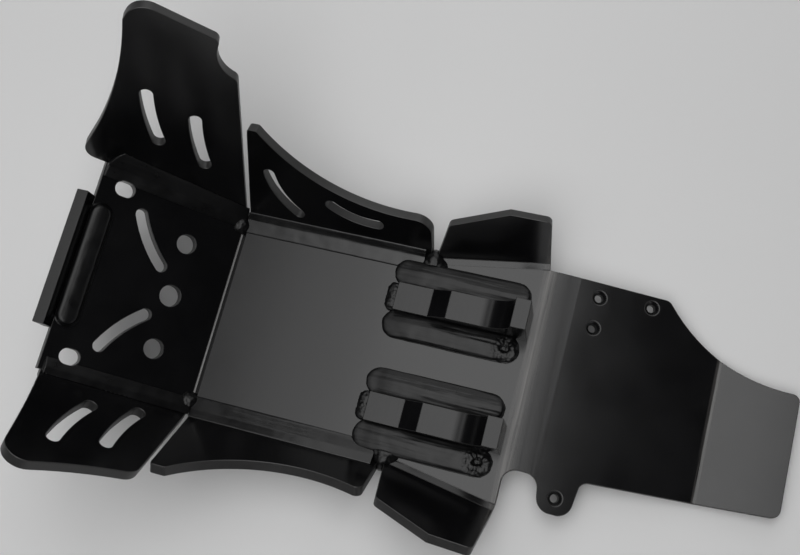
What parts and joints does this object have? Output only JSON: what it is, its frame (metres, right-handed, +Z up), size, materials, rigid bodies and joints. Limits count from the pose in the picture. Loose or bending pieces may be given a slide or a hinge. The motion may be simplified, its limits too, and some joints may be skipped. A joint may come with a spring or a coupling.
{
  "type": "motorcycle skid plate",
  "caption": "Black plastic skid plate for an off-road motorbike: folded tray with sloped front, leaning slotted wings, hooked blocks for a frame tube and welded seams.",
  "frame": {"origin": "middle of the inside fold between the front ramp and the flat floor", "axes": "+X to the rider's right, +Y forward along the bike, +Z up and square to the floor"},
  "size_m": [0.3216, 0.5761, 0.2482],
  "materials": {
    "sheet": "semi-gloss black sheet, matte cut edges",
    "weld": "semi-gloss black extruded bead"
  },
  "bodies": {
    "root": {"base_plate": "sheet", "frame_hook_left": "sheet", "frame_hook_right": "sheet", "front_corner_weld_left": "weld", "front_corner_weld_right": "weld", "front_lip": "sheet", "front_wing_left": "sheet", "front_wing_right": "sheet", "front_wing_weld_left": "weld", "front_wing_weld_right": "weld", "hook_toe_weld_left": "weld", "hook_toe_weld_right": "weld", "hook_weld_left_inner": "weld", "hook_weld_left_outer": "weld", "hook_weld_right_inner": "weld", "hook_weld_right_outer": "weld", "lip_weld": "weld", "rear_corner_weld_left": "weld", "rear_corner_weld_right": "weld", "side_wing_left": "sheet", "side_wing_right": "sheet", "side_wing_weld_left": "weld", "side_wing_weld_right": "weld"}
  },
  "joints": []
}
